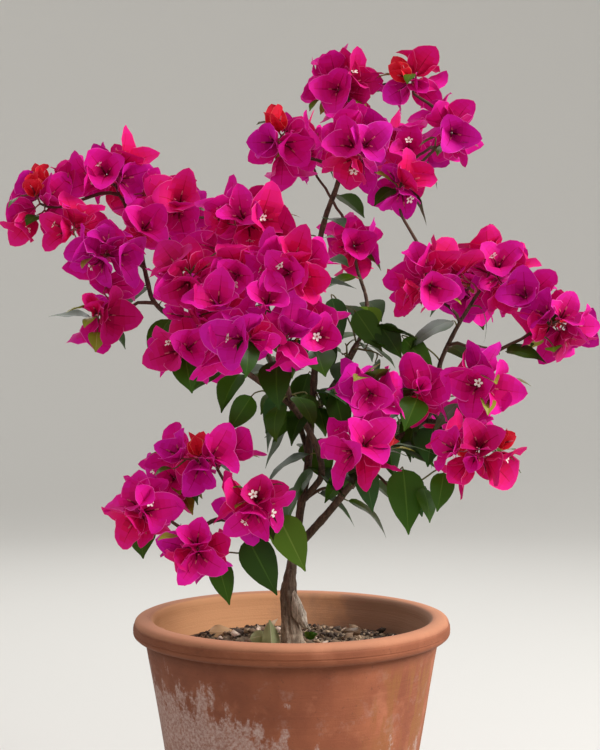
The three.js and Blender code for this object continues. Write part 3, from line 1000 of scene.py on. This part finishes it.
bract_heaps = {}
sites = bloom_sites()
for name, base, direction in sites:
    heap = bract_heaps.setdefault(cluster_of(name), Heap())
    tint = chance.choices(TINT_NAMES, TINT_SHARES)[0]
    if name in YOUNG_SPRAYS and direction[2] > 0.6 and chance.random() < 0.35:
        tint = "young"
    closed = tint == "young" or chance.random() < 0.08
    scale = chance.uniform(0.84, 1.06) * (0.68 if closed else 1.0)
    facing = turned(direction, chance.uniform(0, ANY_TURN))
    flare = math.radians(chance.uniform(12, 26) if closed else chance.uniform(34, 72))
    lean = math.radians(chance.uniform(4, 10) if closed else chance.uniform(12, 30))
    for third in range(3):
        bract = bract_points(BRACT_LENGTH * scale * chance.uniform(0.9, 1.1),
                             BRACT_HALF_WIDTH * scale * chance.uniform(0.9, 1.1),
                             lean * chance.uniform(0.6, 1.4), flare * chance.uniform(0.7, 1.25),
                             cup=chance.uniform(0.24, 0.52), ruffle=chance.uniform(0.08, 0.20),
                             phase=chance.uniform(0, ANY_TURN), twist=chance.gauss(0, 0.16),
                             curl_back=chance.gauss(0.1, 0.35))
        round_axis = np.array(Matrix.Rotation(third * 2 * math.pi / 3 + chance.gauss(0, 0.10), 3, "Z"))
        zones = BRACT_ZONES[chance.randrange(BRACT_PATTERNS)] + BRACT_TONES * TINT_NAMES.index(tint)
        heap.add(bract @ round_axis.T @ facing.T + base, BRACT_FACES, zones)
        side = facing @ round_axis @ np.array((1.0, 0, 0))
        opened = not closed and third == 0 and chance.random() < 0.30
        length = chance.uniform(0.014, 0.018) * (1.15 if opened else 1.0)
        add_tube(base + side * 0.0012, side, direction, length, opened)
    path, road = shoot(wood, base, direction, 0.007, 0.0004)
    add_stalk(path, 0.0010, 0.0006, 5, PINK_STALK if len(path) < 5 else GREEN_STALK)
    wood.lay(path[1:-1], road)

bract_finishes = []
for tint in BRACT_TINTS:
    for tone in range(BRACT_TONES):
        colour = tone_of(tint, tone)
        finish = Finish(f"bract_{tint}_{tone}", 0.7, colour)
        finish.shader.inputs["Specular IOR Level"].default_value = 0.12
        # A painted glow: each bract emits its own colour, standing in for light that soaks through the thin
        # bracts from behind.
        finish.shader.inputs["Emission Color"].default_value = paint(*colour)
        finish.shader.inputs["Emission Strength"].default_value = BRACT_GLOW
        bract_finishes.append(finish.material)

for cluster, heap in bract_heaps.items():
    bracts = heap.make("bracts_" + cluster, bract_finishes)
    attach(bracts, "root")
    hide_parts(*[name for name in BLOOMING if cluster_of(name) == cluster])

flowers = flower_heap.make("flower_tubes", plain_finishes((
    ("tube_red", 0.6, (116, 8, 44)), ("tube_pale", 0.6, (196, 84, 104)),
    ("star_white", 0.6, (252, 250, 240)), ("star_eye", 0.7, (120, 96, 40)))))
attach(flowers, "root")


# ---- The leaves ---------------------------------------------------------------------------------
# Oval leaves with a drawn-out point, folded a little along a paler midrib and drooping from thin
# stalks: dark and glossy when grown, yellow-green when young. They hang most thickly below and inside.

LEAF_ROWS = np.array((0, 0.05, 0.13, 0.23, 0.34, 0.46, 0.58, 0.70, 0.81, 0.91, 1.0))
LEAF_COLUMNS = np.array((-1, -0.55, -0.045, 0.045, 0.55, 1))
LEAF_TINTS = {
    "dark": ((38, 70, 4), (58, 92, 20)), "mid": ((52, 90, 6), (74, 110, 28)),
    "blue": ((44, 82, 32), (70, 106, 54)), "light": ((80, 114, 18), (106, 134, 46)),
    "young": ((142, 146, 44), (176, 172, 88)),
    "dry_cream": ((164, 170, 122), (196, 194, 156)), "dry_tan": ((196, 158, 118), (206, 172, 134)),
    "dry_brown": ((112, 86, 62), (132, 104, 78)),
}
OLD_LEAVES = (46, 30, 10, 12, 2, 0, 0, 0)
NEW_LEAVES = (22, 26, 6, 24, 22, 0, 0, 0)
ONLY_YOUNG = (0, 0, 0, 40, 60, 0, 0, 0)
LEAF_CLEARANCE = 0.019
LEAFLESS_BELOW = 0.392
LEAF_FACES = grid_faces(len(LEAF_ROWS), len(LEAF_COLUMNS))
BLADE, MIDRIB = 0, 1
LEAF_ZONES = np.tile((BLADE, BLADE, MIDRIB, BLADE, BLADE), len(LEAF_ROWS) - 1)


def leaf_points(length, half_width, fold, droop, ruffle, phase):
    """One leaf: its base at the origin, its length along X, its upper face towards Z."""
    bend = droop * (LEAF_ROWS - 0.15)
    steps = np.diff(LEAF_ROWS, prepend=0) * length
    along = np.cumsum(np.cos(bend) * steps)
    height = -np.cumsum(np.sin(bend) * steps)
    widths = half_width * np.sin(math.pi * LEAF_ROWS ** 0.60) ** 0.95
    widths[-2] *= 0.62
    widths[-3] *= 0.88
    points = np.zeros((len(LEAF_ROWS), len(LEAF_COLUMNS), 3))
    for row, v in enumerate(LEAF_ROWS):
        for column, c in enumerate(LEAF_COLUMNS):
            vein = 0.035 * (row % 2) * (abs(c) < 0.9)
            wave = ruffle * abs(c) ** 3 * math.sin(10 * v + phase + 1.7 * (c > 0))
            lift = widths[row] * (fold * abs(c) - 0.12 * c * c - vein + wave)
            points[row, column] = (along[row], (widths[row] + 0.0006) * c, height[row] + lift)
    return points.reshape(-1, 3)


leaf_heap = Heap()
LEAF_TINT_NAMES = list(LEAF_TINTS)
bloom_faces = np.array([base + direction * 0.02 for _, base, direction in sites])
# A leaf hung on a stalk is left out if its tip would pass the bush's own outline.
crown_low, crown_high = (np.array(corner) for corner in cad_box)


def clear_of_blooms(place, heading, length, clearance):
    """Whether a leaf from here would pass outside every bloom's cup."""
    for reach in (0.0, 0.5, 1.0):
        if np.linalg.norm(bloom_faces - place - heading * length * reach, axis=1).min() < clearance:
            return False
    return True


def facing_up(heading, up):
    """The turn of a leaf that points along a heading, with its upper face towards up."""
    across = unit(np.cross(up, heading))
    return np.column_stack([heading, across, np.cross(heading, across)])


def set_leaf(leaf, facing, place, tint):
    leaf_heap.add(leaf @ facing.T + place, LEAF_FACES, LEAF_ZONES + 2 * LEAF_TINT_NAMES.index(tint))


def random_leaf(length, slimness, fold, droop, ruffle):
    """A leaf with each of its proportions somewhere in a range."""
    return leaf_points(length, length * chance.uniform(*slimness), chance.uniform(*fold),
                       chance.uniform(*droop), chance.uniform(*ruffle), chance.uniform(0, ANY_TURN))


def hang_leaf(place, outward, length, tint, droop, clearance=LEAF_CLEARANCE):
    """A leaf on its stalk: it leaves the wood outward, hangs its point down and stays in the crown."""
    level = unit(outward * (1, 1, 0.25))
    heading = unit(level * (1 - droop) + np.array((0, 0, -1)) * droop + jitter(0.14))
    if not clear_of_blooms(place, heading, length, clearance):
        return
    up = level * (0.3 + droop) + np.array((0, 0, 1)) * (1.1 - droop) + jitter(0.18)
    leaf = random_leaf(length, (0.28, 0.36), (0.10, 0.42), (0.3, 1.0), (0.02, 0.10))
    path, _ = shoot(wood, place, heading, 0.004, 0.0002)
    tip = place + heading * length
    if (tip > crown_low).all() and (tip < crown_high).all():
        set_leaf(leaf, facing_up(heading, up), place, tint)
        add_stalk(path, 0.0009, 0.0006, 4, GREEN_STALK)


def leaf_along(path, first, gap, sizes, shares):
    """Leaves alternate along a shoot, each a little way out from it."""
    road = road_along(path)
    turn = chance.uniform(0, ANY_TURN)
    for reach in np.arange(first, road[-1], gap):
        turn += NEXT_LEAF
        index = min(int(np.searchsorted(road, reach)), len(path) - 2)
        heading = path[index + 1] - path[index]
        side = turned(heading, turn)[:, 0] + 0.35 * unit(heading)
        base = path[index] + side * chance.uniform(0.007, 0.012)
        tint = chance.choices(LEAF_TINT_NAMES, shares)[0]
        hang_leaf(base, side, chance.uniform(*sizes), tint, chance.uniform(0.1, 0.65))


# Rows of large leaves, each from one side of its leafy mass to the other: where the row begins
# and ends in parts of the mass, how far its first and last leaf lean over, and their lengths.
HANGING = {
    "leaves_low": ((-1.0, -0.05), (0.35, 1.05), (0.35, 0.6), (0.046, 0.063, 0.058)),
    "leaves_right": ((-0.95, 0.85), (1.1, 0.7), (0.35, -0.15), (0.046, 0.063, 0.036)),
    "leaves_fork": ((-0.85, 0.1), (0.95, 0.2), (-0.7, 0.4), (0.042, 0.042, 0.034, 0.044)),
    "leaves_middle": ((-0.7, 0.8), (1.0, 0.0), (0.3, 0.9), (0.044, 0.046, 0.040, 0.045)),
}


def hang_row(name, first, last, leans, lengths):
    """Large leaves hang in a row across a leafy mass, each on its own stalk from the nearest wood."""
    centre, half = masses[name]
    for index, length in enumerate(lengths):
        along = index / (len(lengths) - 1)
        across = first[0] + (last[0] - first[0]) * along
        up = first[1] + (last[1] - first[1]) * along
        start = centre + half * (across, chance.uniform(-0.5, -0.1), up)
        lean = leans[0] + (leans[1] - leans[0]) * along
        heading = unit(np.array((chance.gauss(lean, 0.1), -0.22, -1.0)))
        length *= chance.uniform(0.95, 1.05)
        leaf = random_leaf(length, (0.25, 0.31), (0.12, 0.34), (0.2, 0.6), (0.02, 0.08))
        tint = chance.choices(LEAF_TINT_NAMES, OLD_LEAVES)[0]
        set_leaf(leaf, facing_up(heading, (0.12, -1.0, 0.1)), start, tint)
        path, _ = shoot(wood, start, heading, 0.004, 0.0002)
        add_stalk(path, 0.0009, 0.0007, 4, GREEN_STALK)


for name, row in HANGING.items():
    hang_row(name, *row)

for name, shoots in LEAFY.items():
    centre, half = masses[name]
    for index in range(shoots):
        turn = index * NEXT_SHOOT + chance.uniform(-0.4, 0.4)
        direction = unit(np.array((math.cos(turn), math.sin(turn), chance.uniform(-0.7, 0.8))))
        end = centre + direction * half * chance.uniform(0.3, 0.75)
        path, road = shoot(wood, end, direction, 0.006, 0.0005)
        add_stalk(path, 0.0013, 0.0007, 5, WOODY if len(path) > 8 else GREEN_STALK)
        wood.lay(path[1:], road)
        leaf_along(path, 0.010, 0.014, (0.034, 0.050), OLD_LEAVES)

for route in limb_routes.values():
    leafy_part = route[route[:, 2] > LEAFLESS_BELOW]
    if len(leafy_part) > 8:
        leaf_along(leafy_part, 0.012, 0.023, (0.036, 0.056), OLD_LEAVES)

for name in BLOOMING:
    centre, half = masses[name]
    for index in range(14 if centre[2] < 0.55 else 5):
        direction = unit(np.array((chance.gauss(0, 1), chance.gauss(0, 1), chance.gauss(-0.3, 0.9))))
        base = centre + direction * half * chance.uniform(0.1, 0.5)
        tint = chance.choices(LEAF_TINT_NAMES, NEW_LEAVES if direction[2] > 0 else OLD_LEAVES)[0]
        hang_leaf(base, direction, chance.uniform(0.028, 0.046), tint, chance.uniform(0.0, 0.65))
    for index in range(4):
        direction = unit(np.array(jitter(1)))
        base = centre + direction * half * chance.uniform(0.4, 0.7)
        tint = chance.choices(LEAF_TINT_NAMES, ONLY_YOUNG)[0]
        length = chance.uniform(0.016, 0.026)
        hang_leaf(base, direction, length, tint, chance.uniform(-0.3, 0.3), clearance=0.013)

# Old leaves lie dry on the compost: a cream one leans on the trunk, a tan one lies by the wall.
for x, y, up, heading, length, tint in (
        (-0.020, -0.009, 0.001, (-0.05, -0.1, 1.0), 0.031, "dry_cream"),
        (-0.042, -0.002, 0.012, (1.0, -0.1, 0.25), 0.024, "dry_cream"),
        (-0.086, 0.052, 0.008, (1.0, 0.1, 0.05), 0.028, "dry_tan"),
        (0.070, 0.034, 0.010, (-0.8, 0.5, 0.1), 0.024, "dry_brown"),
        (0.014, -0.012, 0.016, (0.7, -0.5, 0.3), 0.013, "mid"),
        (0.013, -0.011, 0.015, (0.2, -0.8, 0.5), 0.011, "light")):
    heading = unit(np.array(heading))
    dry = leaf_points(length, length * 0.27, 0.75, -0.5, 0.30, 1.0)
    set_leaf(dry, facing_up(heading, (-0.1, 1.0, -0.45)), (x, y, COMPOST_LEVEL + up), tint)

leaf_finishes = []
for tint, zones in LEAF_TINTS.items():
    for zone, colour in zip(("blade", "midrib"), zones):
        finish = Finish(f"leaf_{tint}_{zone}", 0.42, colour)
        finish.shader.inputs["Specular IOR Level"].default_value = 0.22
        leaf_finishes.append(finish.material)
leaves = leaf_heap.make("leaves", leaf_finishes)
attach(leaves, "root")
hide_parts(*LEAFY)

twigs = twig_heap.make("twigs", plain_finishes((
    ("twig_woody", 0.85, (84, 62, 46)), ("stalk_green", 0.7, (104, 104, 52)),
    ("stalk_pink", 0.7, (150, 62, 72)))))
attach(twigs, "root")


# ---- The studio ---------------------------------------------------------------------------------
# A plain pale floor, a large soft light high on the front right, a weaker one on the left and one
# behind, and a camera level with the middle of the bush.

FLOOR_COLOUR = (226, 224, 220)
FLOOR_RADIUS = 3.0
COVE_RADIUS = 3.0
COVE_STEPS = 12
WALL_STEPS = 2
MIDDLE_HEIGHT = 0.547
CAMERA_DISTANCE = 1.458
CAMERA_DIP = 0.91


def soft_light(name, place, size, power):
    lamp = bpy.data.lights.new(name, "AREA")
    lamp.size = size
    lamp.energy = power
    holder = bpy.data.objects.new(name, lamp)
    bpy.context.collection.objects.link(holder)
    holder.location = place
    holder.rotation_euler = (Vector((0, 0, 0.55)) - Vector(place)).to_track_quat("-Z", "Y").to_euler()


def cove_outline():
    for step in range(1, COVE_STEPS + WALL_STEPS + 1):
        turn = min(step / COVE_STEPS, 1) * math.pi / 2
        height = COVE_RADIUS * (1 - math.cos(turn)) + max(0, step - COVE_STEPS) * 0.3
        yield FLOOR_RADIUS + COVE_RADIUS * math.sin(turn), height


def lay_floor():
    """A round floor that curves up into a low wall all round, so that it has no horizon."""
    ground = new_disc("studio_floor", FLOOR_RADIUS, 96)
    draw_up(FLOOR_RADIUS, 0.0, cove_outline())
    bpy.ops.mesh.delete(type="ONLY_FACE")
    bpy.ops.object.mode_set(mode="OBJECT")
    ground.data.shade_smooth()
    return ground


ground = lay_floor()
ground.data.materials.append(Finish("studio_floor", 0.9, FLOOR_COLOUR).material)

soft_light("key", (2.5, -0.8, 2.0), 1.4, 100)
soft_light("fill", (-2.0, -1.6, 1.9), 1.8, 5)
soft_light("back", (-0.4, 1.9, 2.1), 1.6, 18)
world = bpy.data.worlds.new("studio")
world.use_nodes = True
world.node_tree.nodes["Background"].inputs["Color"].default_value = paint(214, 213, 210)
world.node_tree.nodes["Background"].inputs["Strength"].default_value = 0.75
bpy.context.scene.world = world
bpy.context.scene.view_settings.view_transform = "Standard"

lens = bpy.data.cameras.new("camera")
lens.lens = 70
camera = bpy.data.objects.new("camera", lens)
bpy.context.collection.objects.link(camera)
camera.location = (0.008, -CAMERA_DISTANCE, MIDDLE_HEIGHT)
camera.rotation_euler = (math.radians(90 - CAMERA_DIP), 0, 0)
bpy.context.scene.camera = camera
